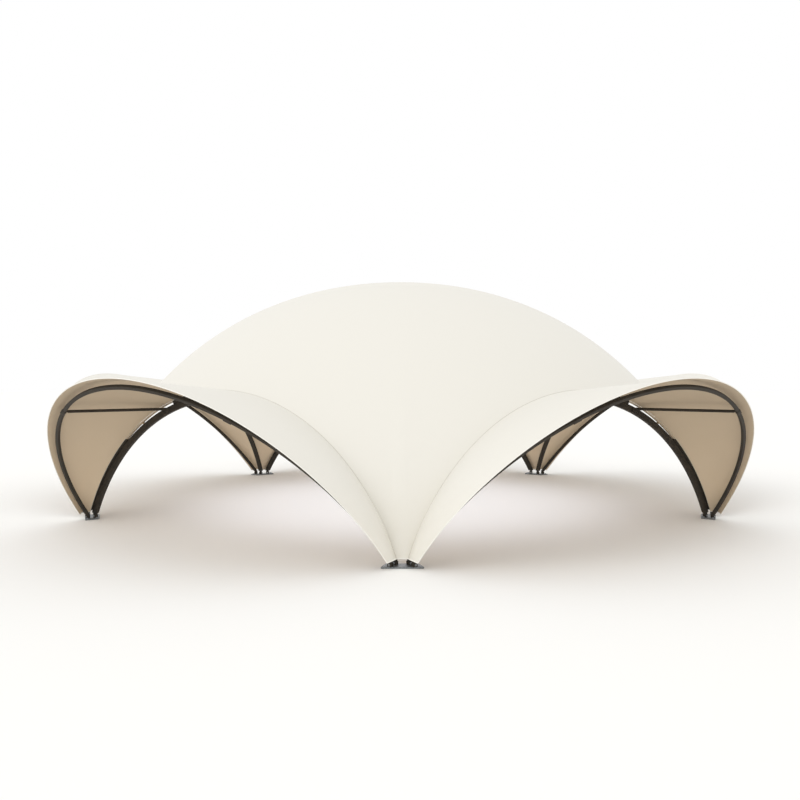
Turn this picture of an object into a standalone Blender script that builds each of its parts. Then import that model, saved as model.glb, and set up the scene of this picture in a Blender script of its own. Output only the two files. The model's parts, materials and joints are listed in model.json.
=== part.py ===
# Five-legged arch canopy: a domed membrane on five arched openings, each with a flared visor
# Metres, +Z up. The origin is on the ground, at the middle of the whole outline seen from above.
# One foot stands at the front, on -Y, so the plane X = 0 is a mirror plane. Every piece is drawn
# about the centre of the circle of feet, and one empty carries them all to their place.

from math import asin, atan2, ceil, cos, hypot, pi, radians, sin, sqrt

import bpy
import bmesh
from mathutils import Vector

# Plan: a regular pentagon of feet
FOOT_RADIUS = 6.0
FEET = {"front": -90, "right": -18, "back_right": 54, "back_left": 126, "left": 198}
SIDES = {"front_right": -54, "right_side": 18, "back": 90, "left_side": 162, "front_left": 234}
HALF_TURN_DEGREES = 36
APOTHEM = FOOT_RADIUS * cos(radians(HALF_TURN_DEGREES))
FOOT_CIRCLE_CENTRE_Y = -0.188

# Play between pieces that touch
GAP = 0.0003

# Foot plate, with an upright bracket for each of the four tubes that land on it
PLATE_THICKNESS = 0.020
PLATE_FRONT = 0.105
PLATE_DEPTH = 0.25
PLATE_FRONT_WIDTH = 0.60
PLATE_BACK_WIDTH = 0.46
PLATE_CORNER = 0.012
LUG_THICKNESS = 0.008
LUG_HEIGHT = 0.072
LUG_LENGTH = 0.064

# Inner arch: a box tube bent to a circle in an upright plane over each side of the pentagon
ARC_CENTRE_Z = -1.453
TUBE_INNER_RADIUS = 3.688
TUBE_OUTER_RADIUS = 3.797
TUBE_WIDTH = 0.070
TUBE_END_Z = 0.105
SPIGOT_DEPTH = 0.050
SPIGOT_WIDTH = 0.046

# Seam of the membrane above each inner arch, and the number of flats along it
SEAM_RADIUS = 3.775
SEAM_CENTRE_Z = -1.365
SEAM_END_Z = 0.120
SEAM_OFFSET_FOOT = 0.065
SEAM_OFFSET_CROWN = 0.045
FLATS = 20

# Keder rail between the inner arch and the membrane. Places along it count flats of the arch.
# Over some flats it stands clear of the tube, and it steps in and out within a part of a flat.
RAIL_INNER_EDGE = -0.010
RAIL_FIRST = 0.1
RAIL_OPEN_FROM = 4
RAIL_OPEN_TO = 7.25
RAIL_STEP = 0.005
RAIL_LIP = 0.014
CLIP_AT = 5.22
CLIP_LENGTH = 0.020

# Outer arch: a square tube bent to a half ellipse in a plane that leans outward
OUTER_LEAN = radians(37.33)
OUTER_OFFSET = 0.0847
OUTER_HALF_WIDTH = 3.447
OUTER_RISE = 3.359
OUTER_CENTRE = -0.225
OUTER_TUBE = 0.060
OUTER_END_Z = 0.085
OUTER_FLATS = 28
COLLAR_PROUD = 0.006
COLLAR_HALF_ANGLE = radians(1.1)
COLLAR_EDGE_ANGLE = 1e-6
COLLAR_FREE_ANGLE = 1.5 * COLLAR_HALF_ANGLE

# Free edge of the visor: a circle in a second leaning plane
EDGE_LEAN = radians(36.83)
EDGE_BASE_Z = -0.281
EDGE_RADIUS = 3.488
EDGE_CENTRE = 0.138
EDGE_END_Z = 0.099
VISOR_BULGE_FOOT = 0.211
VISOR_BULGE_CROWN = 0.0
VISOR_ROWS = 5

# Strut pair in each opening, each with a saddle plate that lies along the inner arch
STRUT_RADIUS = 0.024
STRUT_SIDES = 10
STRUT_INNER_ALONG = 1.36
STRUT_INNER_Z = 2.067
STRUT_OUTER_Z = 2.075
SADDLE_THICKNESS = 0.010
SADDLE_LENGTH = 0.150
SADDLE_MARGIN = 0.008

# Roof membrane: a dome of revolution that lifts slightly to meet the seams
MEMBRANE = 0.006
DOME_TOP = 4.466
DOME_BASE = -1.536
DOME_RADIUS = 6.142
DOME_PLAN_POWER = 2.069
DOME_RISE_POWER = 2.143
LIFT_POWER = 10
ROOF_ROWS = 12
ROW_CROWDING = 1.7
SEAM_SPLIT = 0.0004

# Roof frame under the dome: a crown ring and one curved rafter up from each inner arch
RING_SIDES = 20
RING_RADIUS = 0.46
RING_WIDTH = 0.050
RING_HEIGHT = 0.080
RAFTER_RADIUS = 0.030
RAFTER_SIDES = 8
RAFTER_PLATE_WIDTH = 0.110
RAFTER_PLATE_THICKNESS = 0.010
RAFTER_PLATE_LOW = 0.100
RAFTER_PLATE_HIGH = 0.066
RAFTER_END_MARGIN = 0.050

# Edges that turn more than this stay sharp
SMOOTH_ANGLE = radians(40)

# Colours as linear red, green, blue
CHARCOAL = (0.045, 0.042, 0.038)
GALVANISED = (0.42, 0.44, 0.46)
OFF_WHITE = (0.87, 0.84, 0.78)


def clear_scene():
    for item in list(bpy.data.objects):
        bpy.data.objects.remove(item, do_unlink=True)


def make_material(name, colour, roughness, metallic):
    material = bpy.data.materials.new(name)
    material.use_nodes = True
    shader = material.node_tree.nodes["Principled BSDF"]
    shader.inputs["Base Color"].default_value = (*colour, 1.0)
    shader.inputs["Roughness"].default_value = roughness
    shader.inputs["Metallic"].default_value = metallic
    return material


def make_object(name, mesh_data, material, smooth=False):
    """A named object from a bmesh, with its faces turned outward."""
    bmesh.ops.recalc_face_normals(mesh_data, faces=mesh_data.faces)
    if mesh_data.calc_volume(signed=True) < 0:
        bmesh.ops.reverse_faces(mesh_data, faces=mesh_data.faces)
    mesh = bpy.data.meshes.new(name)
    mesh_data.to_mesh(mesh)
    mesh_data.free()
    if smooth:
        mesh.shade_smooth()
        mesh.set_sharp_from_angle(angle=SMOOTH_ANGLE)
    item = bpy.data.objects.new(name, mesh)
    item.data.materials.append(material)
    bpy.context.collection.objects.link(item)
    return item


def add_solid(item, tool):
    """Joins the tool's solid to the item with a union, and hides the tool."""
    union = item.modifiers.new("join_" + tool.name, "BOOLEAN")
    union.operation = "UNION"
    union.solver = "EXACT"
    union.object = tool
    tool.hide_render = True
    tool.display_type = "WIRE"


def add_rings(mesh_data, rings):
    """Quads between successive closed rings of points, with both ends capped."""
    loops = []
    for ring in rings:
        loops.append([mesh_data.verts.new(point) for point in ring])
    for first, second in zip(loops, loops[1:]):
        count = len(first)
        for i in range(count):
            j = (i + 1) % count
            mesh_data.faces.new((first[i], first[j], second[j], second[i]))
    mesh_data.faces.new(loops[0][::-1])
    mesh_data.faces.new(loops[-1])


def add_box(mesh_data, corners_low, corners_high):
    """A six-sided solid from its four lower and four upper corners."""
    add_rings(mesh_data, [corners_low, corners_high])


class Side:
    """One side of the pentagon: offset runs outward, along runs anticlockwise seen from above."""

    def __init__(self, angle_degrees):
        angle = radians(angle_degrees)
        self.outward = Vector((cos(angle), sin(angle), 0.0))
        self.tangent = Vector((-sin(angle), cos(angle), 0.0))

    def point(self, offset, along, height):
        place = self.outward * (APOTHEM + offset) + self.tangent * along
        place.z = height
        return place


def cut_at_height(point, direction, height):
    return point + direction * ((height - point.z) / direction.z)


def mix(a, b, share):
    return a + (b - a) * share


# Inner arch

def arch_angles():
    """Angles of the stations about the arch's centre, from one end of the seam to the other."""
    end_along = sqrt(SEAM_RADIUS ** 2 - (SEAM_END_Z - SEAM_CENTRE_Z) ** 2)
    first = atan2(SEAM_END_Z - ARC_CENTRE_Z, end_along)
    step = (pi - 2 * first) / FLATS
    return [first + step * i for i in range(FLATS + 1)]


def seam_distance(angle):
    """Distance of the seam from the arch's centre, along a ray at this angle."""
    drop = ARC_CENTRE_Z - SEAM_CENTRE_Z
    return -drop * sin(angle) + sqrt(SEAM_RADIUS ** 2 - (drop * cos(angle)) ** 2)


def rise_share(angle):
    """How far up the arch a station is, from 0 at the seam's ends to 1 at its crown."""
    low = sin(arch_angles()[0])
    return (sin(angle) - low) / (1.0 - low)


def seam_offset(angle):
    return mix(SEAM_OFFSET_FOOT, SEAM_OFFSET_CROWN, rise_share(angle))


def arch_point(side, offset, distance, angle):
    return side.point(offset, distance * cos(angle), ARC_CENTRE_Z + distance * sin(angle))


def seam_point(side, angle, below=0.0, shift=0.0):
    return arch_point(side, seam_offset(angle) + shift, seam_distance(angle) - below, angle)


def box_section(side, angle, distances, half_width):
    inner, outer = distances
    return [
        arch_point(side, -half_width, inner, angle),
        arch_point(side, half_width, inner, angle),
        arch_point(side, half_width, outer, angle),
        arch_point(side, -half_width, outer, angle),
    ]


def level_section(side, height, distances, half_width, sign):
    """The arch's section where a level plane cuts it, at the end on the sign side."""
    along = [sign * sqrt(d ** 2 - (height - ARC_CENTRE_Z) ** 2) for d in distances]
    return [
        side.point(-half_width, along[0], height),
        side.point(half_width, along[0], height),
        side.point(half_width, along[1], height),
        side.point(-half_width, along[1], height),
    ]


def spigot_section(side, height, sign):
    """Section of the narrow end piece, centred on the tube's end."""
    ends = level_section(side, TUBE_END_Z, (TUBE_INNER_RADIUS, TUBE_OUTER_RADIUS), TUBE_WIDTH / 2, sign)
    middle = (ends[0] + ends[1] + ends[2] + ends[3]) / 4
    along = middle.dot(side.tangent)
    half = sign * SPIGOT_DEPTH / 2
    return [
        side.point(-SPIGOT_WIDTH / 2, along - half, height),
        side.point(SPIGOT_WIDTH / 2, along - half, height),
        side.point(SPIGOT_WIDTH / 2, along + half, height),
        side.point(-SPIGOT_WIDTH / 2, along + half, height),
    ]


def make_inner_arch(name, side, material):
    tube = (TUBE_INNER_RADIUS, TUBE_OUTER_RADIUS)
    half_width = TUBE_WIDTH / 2
    floor = PLATE_THICKNESS + GAP
    rings = [
        spigot_section(side, floor, 1),
        spigot_section(side, TUBE_END_Z, 1),
        level_section(side, TUBE_END_Z, tube, half_width, 1),
    ]
    for angle in arch_angles()[1:-1]:
        rings.append(box_section(side, angle, tube, half_width))
    rings += [
        level_section(side, TUBE_END_Z, tube, half_width, -1),
        spigot_section(side, TUBE_END_Z, -1),
        spigot_section(side, floor, -1),
    ]
    mesh_data = bmesh.new()
    add_rings(mesh_data, rings)
    return make_object(name, mesh_data, material)


# Keder rail

def rail_section(side, place, on_tube):
    """Section of the rail at a place counted in flats; it lies on the chords of the stations."""
    angles = arch_angles()
    index = min(int(place), FLATS - 1)
    share = place - index
    sections = []
    for angle in (angles[index], angles[index + 1]):
        top = seam_distance(angle) - MEMBRANE - GAP
        bottom = TUBE_OUTER_RADIUS + GAP
        if not on_tube:
            bottom = top - RAIL_LIP
        sections.append([
            arch_point(side, RAIL_INNER_EDGE, bottom, angle),
            arch_point(side, seam_offset(angle), bottom, angle),
            arch_point(side, seam_offset(angle), top, angle),
            arch_point(side, RAIL_INNER_EDGE, top, angle),
        ])
    return [mix(a, b, share) for a, b in zip(*sections)]


def rail_steps():
    """Places along one half of the rail, each with whether the rail sits on the tube there."""
    flat_length = TUBE_OUTER_RADIUS * (arch_angles()[1] - arch_angles()[0])
    half_clip = CLIP_LENGTH / 2 / flat_length
    clip_start = CLIP_AT - half_clip
    clip_end = CLIP_AT + half_clip
    steps = [(RAIL_FIRST, True)]
    for place in range(1, RAIL_OPEN_FROM + 1):
        steps.append((place, True))
    steps.append((RAIL_OPEN_FROM + RAIL_STEP, False))
    for place in range(RAIL_OPEN_FROM + 1, ceil(CLIP_AT)):
        steps.append((place, False))
    steps.append((clip_start - RAIL_STEP, False))
    steps.append((clip_start, True))
    steps.append((clip_end, True))
    steps.append((clip_end + RAIL_STEP, False))
    for place in range(ceil(CLIP_AT), ceil(RAIL_OPEN_TO)):
        steps.append((place, False))
    steps.append((RAIL_OPEN_TO - RAIL_STEP, False))
    steps.append((RAIL_OPEN_TO, True))
    for place in range(ceil(RAIL_OPEN_TO), FLATS // 2):
        steps.append((place, True))
    return steps


def make_keder_rail(name, side, material):
    half = rail_steps()
    mirrored = [(FLATS - place, on_tube) for place, on_tube in reversed(half)]
    rings = []
    for place, on_tube in half + [(FLATS // 2, True)] + mirrored:
        rings.append(rail_section(side, place, on_tube))
    mesh_data = bmesh.new()
    add_rings(mesh_data, rings)
    return make_object(name, mesh_data, material)


# Outer arch

def outer_place(side, angle):
    """Centre line of the outer arch, with its in-plane normal and its direction of travel."""
    lean_sin = sin(OUTER_LEAN)
    lean_cos = cos(OUTER_LEAN)
    height = OUTER_CENTRE + OUTER_RISE * sin(angle)
    centre = side.point(OUTER_OFFSET + height * lean_sin, OUTER_HALF_WIDTH * cos(angle), height * lean_cos)
    up = side.outward * lean_sin + Vector((0.0, 0.0, lean_cos))
    normal = side.tangent * (cos(angle) / OUTER_HALF_WIDTH) + up * (sin(angle) / OUTER_RISE)
    travel = side.tangent * (-OUTER_HALF_WIDTH * sin(angle)) + up * (OUTER_RISE * cos(angle))
    return centre, normal.normalized(), travel.normalized()


def outer_cross(side):
    """Unit vector square to the outer arch's plane, pointing outward and down."""
    return side.outward * cos(OUTER_LEAN) - Vector((0.0, 0.0, sin(OUTER_LEAN)))


def outer_section(side, angle, half):
    centre, normal = outer_place(side, angle)[:2]
    cross = outer_cross(side)
    return [
        centre - cross * half - normal * half,
        centre + cross * half - normal * half,
        centre + cross * half + normal * half,
        centre - cross * half + normal * half,
    ]


def outer_end_angle():
    return asin((OUTER_END_Z / cos(OUTER_LEAN) - OUTER_CENTRE) / OUTER_RISE)


def outer_level_section(side, angle, half, height):
    travel = outer_place(side, angle)[2]
    return [cut_at_height(point, travel, height) for point in outer_section(side, angle, half)]


def outer_spigot(side, angle, height):
    """Narrow end piece of the outer arch, square to the plate."""
    ring = outer_level_section(side, angle, OUTER_TUBE / 2, OUTER_END_Z)
    middle = (ring[0] + ring[1] + ring[2] + ring[3]) / 4
    half_width = side.outward * (SPIGOT_WIDTH / 2)
    half_depth = side.tangent * (SPIGOT_DEPTH / 2) * (1 if cos(angle) > 0 else -1)
    corners = [
        middle - half_width - half_depth,
        middle + half_width - half_depth,
        middle + half_width + half_depth,
        middle - half_width + half_depth,
    ]
    for corner in corners:
        corner.z = height
    return corners


def strut_outer_angle():
    """Angle on the outer arch where the strut's line meets it, on the positive side."""
    return asin((STRUT_OUTER_Z / cos(OUTER_LEAN) - OUTER_CENTRE) / OUTER_RISE)


def make_outer_arch(name, side, material):
    first = outer_end_angle()
    step = (pi - 2 * first) / OUTER_FLATS
    plain = OUTER_TUBE / 2
    proud = plain + COLLAR_PROUD
    collar = strut_outer_angle()
    marks = [(first + step * i, plain) for i in range(1, OUTER_FLATS)]
    for centre in (collar, pi - collar):
        low = centre - COLLAR_HALF_ANGLE
        high = centre + COLLAR_HALF_ANGLE
        marks = [mark for mark in marks if abs(mark[0] - centre) > COLLAR_FREE_ANGLE]
        marks += [(low, plain), (low + COLLAR_EDGE_ANGLE, proud)]
        marks += [(high - COLLAR_EDGE_ANGLE, proud), (high, plain)]
    marks.sort()
    floor = PLATE_THICKNESS + GAP
    rings = [
        outer_spigot(side, first, floor),
        outer_spigot(side, first, OUTER_END_Z),
        outer_level_section(side, first, plain, OUTER_END_Z),
    ]
    for angle, half in marks:
        rings.append(outer_section(side, angle, half))
    rings += [
        outer_level_section(side, pi - first, plain, OUTER_END_Z),
        outer_spigot(side, pi - first, OUTER_END_Z),
        outer_spigot(side, pi - first, floor),
    ]
    mesh_data = bmesh.new()
    add_rings(mesh_data, rings)
    return make_object(name, mesh_data, material)


# Struts

def make_strut(name, side, sign, material):
    """A round strut between the outer face of the inner arch and the inboard face of the outer arch."""
    start = side.point(TUBE_WIDTH / 2, sign * STRUT_INNER_ALONG, STRUT_INNER_Z)
    angle = strut_outer_angle()
    if sign < 0:
        angle = pi - angle
    finish = outer_place(side, angle)[0]
    cross = outer_cross(side)
    face = finish - cross * (OUTER_TUBE / 2 + COLLAR_PROUD + GAP)
    direction = (finish - start).normalized()
    across = direction.cross(Vector((0.0, 0.0, 1.0))).normalized()
    above = across.cross(direction)
    near = TUBE_WIDTH / 2 + GAP
    far = near + SADDLE_THICKNESS
    inner_plane = APOTHEM + (near + far) / 2
    rings = [[], []]
    for i in range(STRUT_SIDES):
        turn = 2 * pi * (i + 0.5) / STRUT_SIDES
        line = start + (across * cos(turn) + above * sin(turn)) * STRUT_RADIUS
        to_inner = (inner_plane - line.dot(side.outward)) / direction.dot(side.outward)
        to_outer = (face - line).dot(cross) / direction.dot(cross)
        rings[0].append(line + direction * to_inner)
        rings[1].append(line + direction * to_outer)
    mesh_data = bmesh.new()
    add_rings(mesh_data, rings)
    strut = make_object(name, mesh_data, material, smooth=True)

    middle = atan2(STRUT_INNER_Z - ARC_CENTRE_Z, sign * STRUT_INNER_ALONG)
    half_turn = SADDLE_LENGTH / 2 / TUBE_OUTER_RADIUS
    low = TUBE_INNER_RADIUS + SADDLE_MARGIN
    high = TUBE_OUTER_RADIUS - SADDLE_MARGIN
    ends = []
    for turn in (-half_turn, half_turn):
        corners = ((near, low), (far, low), (far, high), (near, high))
        ends.append([arch_point(side, offset, distance, middle + turn) for offset, distance in corners])
    mesh_data = bmesh.new()
    add_box(mesh_data, *ends)
    saddle = make_object(name + "_saddle_guide", mesh_data, material)
    add_solid(strut, saddle)
    return strut


# Roof membrane

def dome_height(radius):
    share = max(0.0, 1.0 - (radius / DOME_RADIUS) ** DOME_PLAN_POWER)
    return DOME_BASE + (DOME_TOP - DOME_BASE) * share ** (1.0 / DOME_RISE_POWER)


def roof_point(rim, share):
    """Top of the roof on the line from its crown to a rim point, at this share of the way out."""
    reach = hypot(rim.x, rim.y)
    lift = rim.z - dome_height(reach)
    height = dome_height(reach * share) + lift * share ** LIFT_POWER
    return Vector((rim.x * share, rim.y * share, height))


def roof_normal(rim, share):
    """Outward unit normal of the roof, from its slope along the line to the rim."""
    small = 0.002
    inner = roof_point(rim, share - small)
    outer = roof_point(rim, share + small)
    slope = outer - inner
    level = Vector((-rim.y, rim.x, 0.0))
    return slope.cross(level).normalized()


def roof_shares():
    """Rows of the roof grid, closer together near the rim where the dome turns down."""
    return [1.0 - (1.0 - i / ROOF_ROWS) ** ROW_CROWDING for i in range(1, ROOF_ROWS + 1)]


def roof_columns():
    """Rim points in order round the tent, each with the underside point of the rim."""
    columns = []
    for angle_degrees in SIDES.values():
        side = Side(angle_degrees)
        for angle in reversed(arch_angles()):
            top = seam_point(side, angle, shift=-SEAM_SPLIT)
            under = seam_point(side, angle, below=MEMBRANE, shift=-SEAM_SPLIT)
            columns.append((top, under))
    return columns


def make_roof(name, material):
    columns = roof_columns()
    mesh_data = bmesh.new()
    sheets = []
    for under in (False, True):
        apex = Vector((0.0, 0.0, DOME_TOP - (MEMBRANE if under else 0.0)))
        rows = [[mesh_data.verts.new(apex)]]
        for share in roof_shares():
            row = []
            for rim, rim_under in columns:
                point = roof_point(rim, share)
                if under and share == 1.0:
                    point = rim_under
                elif under:
                    point = point - roof_normal(rim, share) * MEMBRANE
                row.append(mesh_data.verts.new(point))
            rows.append(row)
        count = len(columns)
        for i in range(count):
            j = (i + 1) % count
            mesh_data.faces.new((rows[0][0], rows[1][i], rows[1][j]))
            for inner, outer in zip(rows[1:], rows[2:]):
                mesh_data.faces.new((inner[i], outer[i], outer[j], inner[j]))
        sheets.append(rows[-1])
    top_rim, under_rim = sheets
    for i in range(len(top_rim)):
        j = (i + 1) % len(top_rim)
        mesh_data.faces.new((top_rim[i], under_rim[i], under_rim[j], top_rim[j]))
    return make_object(name, mesh_data, material, smooth=True)


# Visors

def edge_point(side, angle):
    height = EDGE_CENTRE + EDGE_RADIUS * sin(angle)
    return side.point(
        height * sin(EDGE_LEAN), EDGE_RADIUS * cos(angle), EDGE_BASE_Z + height * cos(EDGE_LEAN)
    )


def edge_angles():
    first = asin(((EDGE_END_Z - EDGE_BASE_Z) / cos(EDGE_LEAN) - EDGE_CENTRE) / EDGE_RADIUS)
    step = (pi - 2 * first) / FLATS
    return [first + step * i for i in range(FLATS + 1)]


def visor_point(side, seam_angle, edge_angle, share):
    """Top of the visor between its seam and its free edge, bulged up and outward."""
    seam = seam_point(side, seam_angle, shift=SEAM_SPLIT)
    edge = edge_point(side, edge_angle)
    chord = edge - seam
    away = side.tangent * cos(seam_angle) + Vector((0.0, 0.0, sin(seam_angle)))
    square = (away - chord * (away.dot(chord) / chord.length_squared)).normalized()
    depth = mix(VISOR_BULGE_FOOT, VISOR_BULGE_CROWN, rise_share(seam_angle))
    bulge = 4.0 * share * (1.0 - share) * depth * chord.length
    return seam + chord * share + square * bulge


def visor_normal(side, column, share):
    """Outward unit normal of the visor at a column, by differences along both directions."""
    seams = arch_angles()
    edges = edge_angles()
    small = 0.01
    before = max(column - 1, 0)
    after = min(column + 1, FLATS)
    along = visor_point(side, seams[after], edges[after], share)
    along = along - visor_point(side, seams[before], edges[before], share)
    out = visor_point(side, seams[column], edges[column], share + small)
    out = out - visor_point(side, seams[column], edges[column], share - small)
    return along.cross(out).normalized()


def make_visor(name, side, material):
    seams = arch_angles()
    edges = edge_angles()
    mesh_data = bmesh.new()
    sheets = []
    for under in (False, True):
        grid = []
        for column in range(FLATS + 1):
            line = []
            for row in range(VISOR_ROWS + 1):
                share = row / VISOR_ROWS
                point = visor_point(side, seams[column], edges[column], share)
                if under and row == 0:
                    point = seam_point(side, seams[column], below=MEMBRANE, shift=SEAM_SPLIT)
                elif under:
                    point = point - visor_normal(side, column, share) * MEMBRANE
                line.append(mesh_data.verts.new(point))
            grid.append(line)
        for left, right in zip(grid, grid[1:]):
            for row in range(VISOR_ROWS):
                mesh_data.faces.new((left[row], left[row + 1], right[row + 1], right[row]))
        rim = [line[0] for line in grid] + grid[-1][1:]
        rim += [line[-1] for line in reversed(grid[:-1])] + grid[0][-2:0:-1]
        sheets.append(rim)
    top_rim, under_rim = sheets
    for i in range(len(top_rim)):
        j = (i + 1) % len(top_rim)
        mesh_data.faces.new((top_rim[i], under_rim[i], under_rim[j], top_rim[j]))
    return make_object(name, mesh_data, material, smooth=True)


# Roof frame

def ring_top():
    """Level of the ring's top, clear of the roof's first row where that row reaches furthest out."""
    corner = RING_RADIUS / cos(pi / RING_SIDES)
    rim = seam_point(Side(0), arch_angles()[0])
    first = roof_point(rim, roof_shares()[0])
    drop = (DOME_TOP - first.z) * corner / hypot(first.x, first.y)
    return DOME_TOP - MEMBRANE - drop - 2 * GAP


def make_crown_ring(name, material):
    """A ring with flats, one of them square to each rafter."""
    mesh_data = bmesh.new()
    first = radians(SIDES["back"]) + pi / RING_SIDES
    corner = 1.0 / cos(pi / RING_SIDES)
    loops = []
    for i in range(RING_SIDES):
        angle = first + 2 * pi * i / RING_SIDES
        loop = []
        for radius, height in (
            (RING_RADIUS, ring_top()),
            (RING_RADIUS, ring_top() - RING_HEIGHT),
            (RING_RADIUS - RING_WIDTH, ring_top() - RING_HEIGHT),
            (RING_RADIUS - RING_WIDTH, ring_top()),
        ):
            reach = radius * corner
            loop.append(mesh_data.verts.new((reach * cos(angle), reach * sin(angle), height)))
        loops.append(loop)
    for i in range(RING_SIDES):
        first_loop = loops[i]
        second_loop = loops[(i + 1) % RING_SIDES]
        for k in range(4):
            m = (k + 1) % 4
            mesh_data.faces.new((first_loop[k], second_loop[k], second_loop[m], first_loop[m]))
    return make_object(name, mesh_data, material)


def make_rafter(name, side, material):
    """A round rafter whose top line follows the underside of the roof, from arch to crown ring."""
    rim = seam_point(side, pi / 2, shift=-SEAM_SPLIT)
    reach = hypot(rim.x, rim.y)
    outer_face = APOTHEM - TUBE_WIDTH / 2 - GAP - RAFTER_PLATE_THICKNESS / 2
    inner_face = RING_RADIUS + GAP
    tops = [Vector((0.0, 0.0, DOME_TOP - MEMBRANE))]
    for share in roof_shares():
        if share == 1.0:
            point = seam_point(side, pi / 2, below=MEMBRANE, shift=-SEAM_SPLIT)
        else:
            point = roof_point(rim, share) - roof_normal(rim, share) * MEMBRANE
        tops.append(point)
    line = [(point.dot(side.outward), point.z) for point in tops]

    def height_at(radius):
        for (r0, z0), (r1, z1) in zip(line, line[1:]):
            if r0 <= radius <= r1:
                return mix(z0, z1, (radius - r0) / (r1 - r0))
        return line[0][1]

    first = inner_face + RAFTER_END_MARGIN
    last = outer_face - RAFTER_END_MARGIN
    radii = [radius for radius, height in line if first < radius < last]
    radii = [inner_face] + radii + [outer_face]
    rings = []
    for index, radius in enumerate(radii):
        before = radii[max(index - 1, 0)]
        after = radii[min(index + 1, len(radii) - 1)]
        slope = (height_at(after) - height_at(before)) / (after - before)
        tilt = 1.0 / sqrt(1.0 + slope ** 2)
        at_end = index in (0, len(radii) - 1)
        ring = []
        for i in range(RAFTER_SIDES):
            turn = 2 * pi * i / RAFTER_SIDES
            lift = RAFTER_RADIUS * (cos(turn) - 1.0)
            sideways = RAFTER_RADIUS * sin(turn)
            if at_end:
                drop = lift / tilt - GAP / tilt
                place = side.outward * radius + side.tangent * sideways
                place.z = height_at(radius) + drop
            else:
                back = Vector((-slope * tilt, tilt))
                place = side.outward * (radius + back.x * (lift - GAP)) + side.tangent * sideways
                place.z = height_at(radius) + back.y * (lift - GAP)
            ring.append(place)
        rings.append(ring)
    mesh_data = bmesh.new()
    add_rings(mesh_data, rings)
    rafter = make_object(name, mesh_data, material, smooth=True)

    face = TUBE_WIDTH / 2 + GAP
    top = height_at(outer_face) - RAFTER_PLATE_HIGH
    bottom = ARC_CENTRE_Z + TUBE_OUTER_RADIUS - RAFTER_PLATE_LOW
    low = []
    for offset, along in ((0, -1), (0, 1), (1, 1), (1, -1)):
        low.append(side.point(
            -face - offset * RAFTER_PLATE_THICKNESS, along * RAFTER_PLATE_WIDTH / 2, bottom
        ))
    high = [Vector((corner.x, corner.y, top)) for corner in low]
    mesh_data = bmesh.new()
    add_box(mesh_data, low, high)
    plate = make_object(name + "_plate_guide", mesh_data, material)
    add_solid(rafter, plate)
    return rafter


# Feet

def lug_corners(centre, outward, tangent, face, length, low, high):
    """Two upright plates on both faces of a tube's end piece."""
    boxes = []
    for sign in (1, -1):
        near = centre + outward * (sign * face)
        far = centre + outward * (sign * (face + LUG_THICKNESS))
        ring = [
            near - tangent * length / 2,
            near + tangent * length / 2,
            far + tangent * length / 2,
            far - tangent * length / 2,
        ]
        boxes.append((
            [Vector((p.x, p.y, low)) for p in ring],
            [Vector((p.x, p.y, high)) for p in ring],
        ))
    return boxes


def ring_middle(ring):
    return (ring[0] + ring[1] + ring[2] + ring[3]) / 4


def make_foot(name, foot_angle, material):
    angle = radians(foot_angle)
    out = Vector((cos(angle), sin(angle), 0.0))
    across = Vector((-sin(angle), cos(angle), 0.0))
    front = FOOT_RADIUS + PLATE_FRONT
    back = front - PLATE_DEPTH
    outline = [
        out * front - across * (PLATE_FRONT_WIDTH / 2 - PLATE_CORNER),
        out * front + across * (PLATE_FRONT_WIDTH / 2 - PLATE_CORNER),
        out * (front - PLATE_CORNER * 2) + across * PLATE_FRONT_WIDTH / 2,
        out * back + across * PLATE_BACK_WIDTH / 2,
        out * back - across * PLATE_BACK_WIDTH / 2,
        out * (front - PLATE_CORNER * 2) - across * PLATE_FRONT_WIDTH / 2,
    ]
    mesh_data = bmesh.new()
    top = [point + Vector((0.0, 0.0, PLATE_THICKNESS)) for point in outline]
    add_rings(mesh_data, [outline, top])
    foot = make_object(name, mesh_data, material)

    mesh_data = bmesh.new()
    face = SPIGOT_WIDTH / 2 + GAP * 2
    low = PLATE_THICKNESS / 2
    high = LUG_HEIGHT
    for sign in (1, -1):
        side = Side(foot_angle - sign * HALF_TURN_DEGREES)
        arch_end = ring_middle(spigot_section(side, low, sign))
        end_angle = outer_end_angle() if sign > 0 else pi - outer_end_angle()
        outer_end = ring_middle(outer_spigot(side, end_angle, low))
        for centre in (arch_end, outer_end):
            for box in lug_corners(centre, side.outward, side.tangent, face, LUG_LENGTH, low, high):
                add_box(mesh_data, *box)
    lugs = make_object(name + "_lug_guide", mesh_data, material)
    add_solid(foot, lugs)
    return foot


def carry_all():
    """Parents every piece to one empty at the centre of the circle of feet."""
    pieces = list(bpy.data.objects)
    centre = bpy.data.objects.new("foot_circle_centre", None)
    centre.location = (0.0, FOOT_CIRCLE_CENTRE_Y, 0.0)
    bpy.context.collection.objects.link(centre)
    for piece in pieces:
        piece.parent = centre
    bpy.context.view_layer.update()


def build():
    clear_scene()
    charcoal = make_material("charcoal_painted_steel", CHARCOAL, 0.45, 0.0)
    zinc = make_material("galvanised_steel", GALVANISED, 0.4, 1.0)
    cloth = make_material("coated_membrane", OFF_WHITE, 0.55, 0.0)

    for foot, angle in FEET.items():
        make_foot("foot_" + foot, angle, zinc)
    for label, angle in SIDES.items():
        side = Side(angle)
        make_inner_arch("inner_arch_" + label, side, charcoal)
        make_keder_rail("keder_rail_" + label, side, charcoal)
        make_outer_arch("outer_arch_" + label, side, charcoal)
        make_strut("strut_" + label + "_a", side, 1, charcoal)
        make_strut("strut_" + label + "_b", side, -1, charcoal)
        make_rafter("rafter_" + label, side, charcoal)
        make_visor("visor_" + label, side, cloth)
    make_crown_ring("crown_ring", charcoal)
    make_roof("roof_membrane", cloth)
    carry_all()


build()
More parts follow.
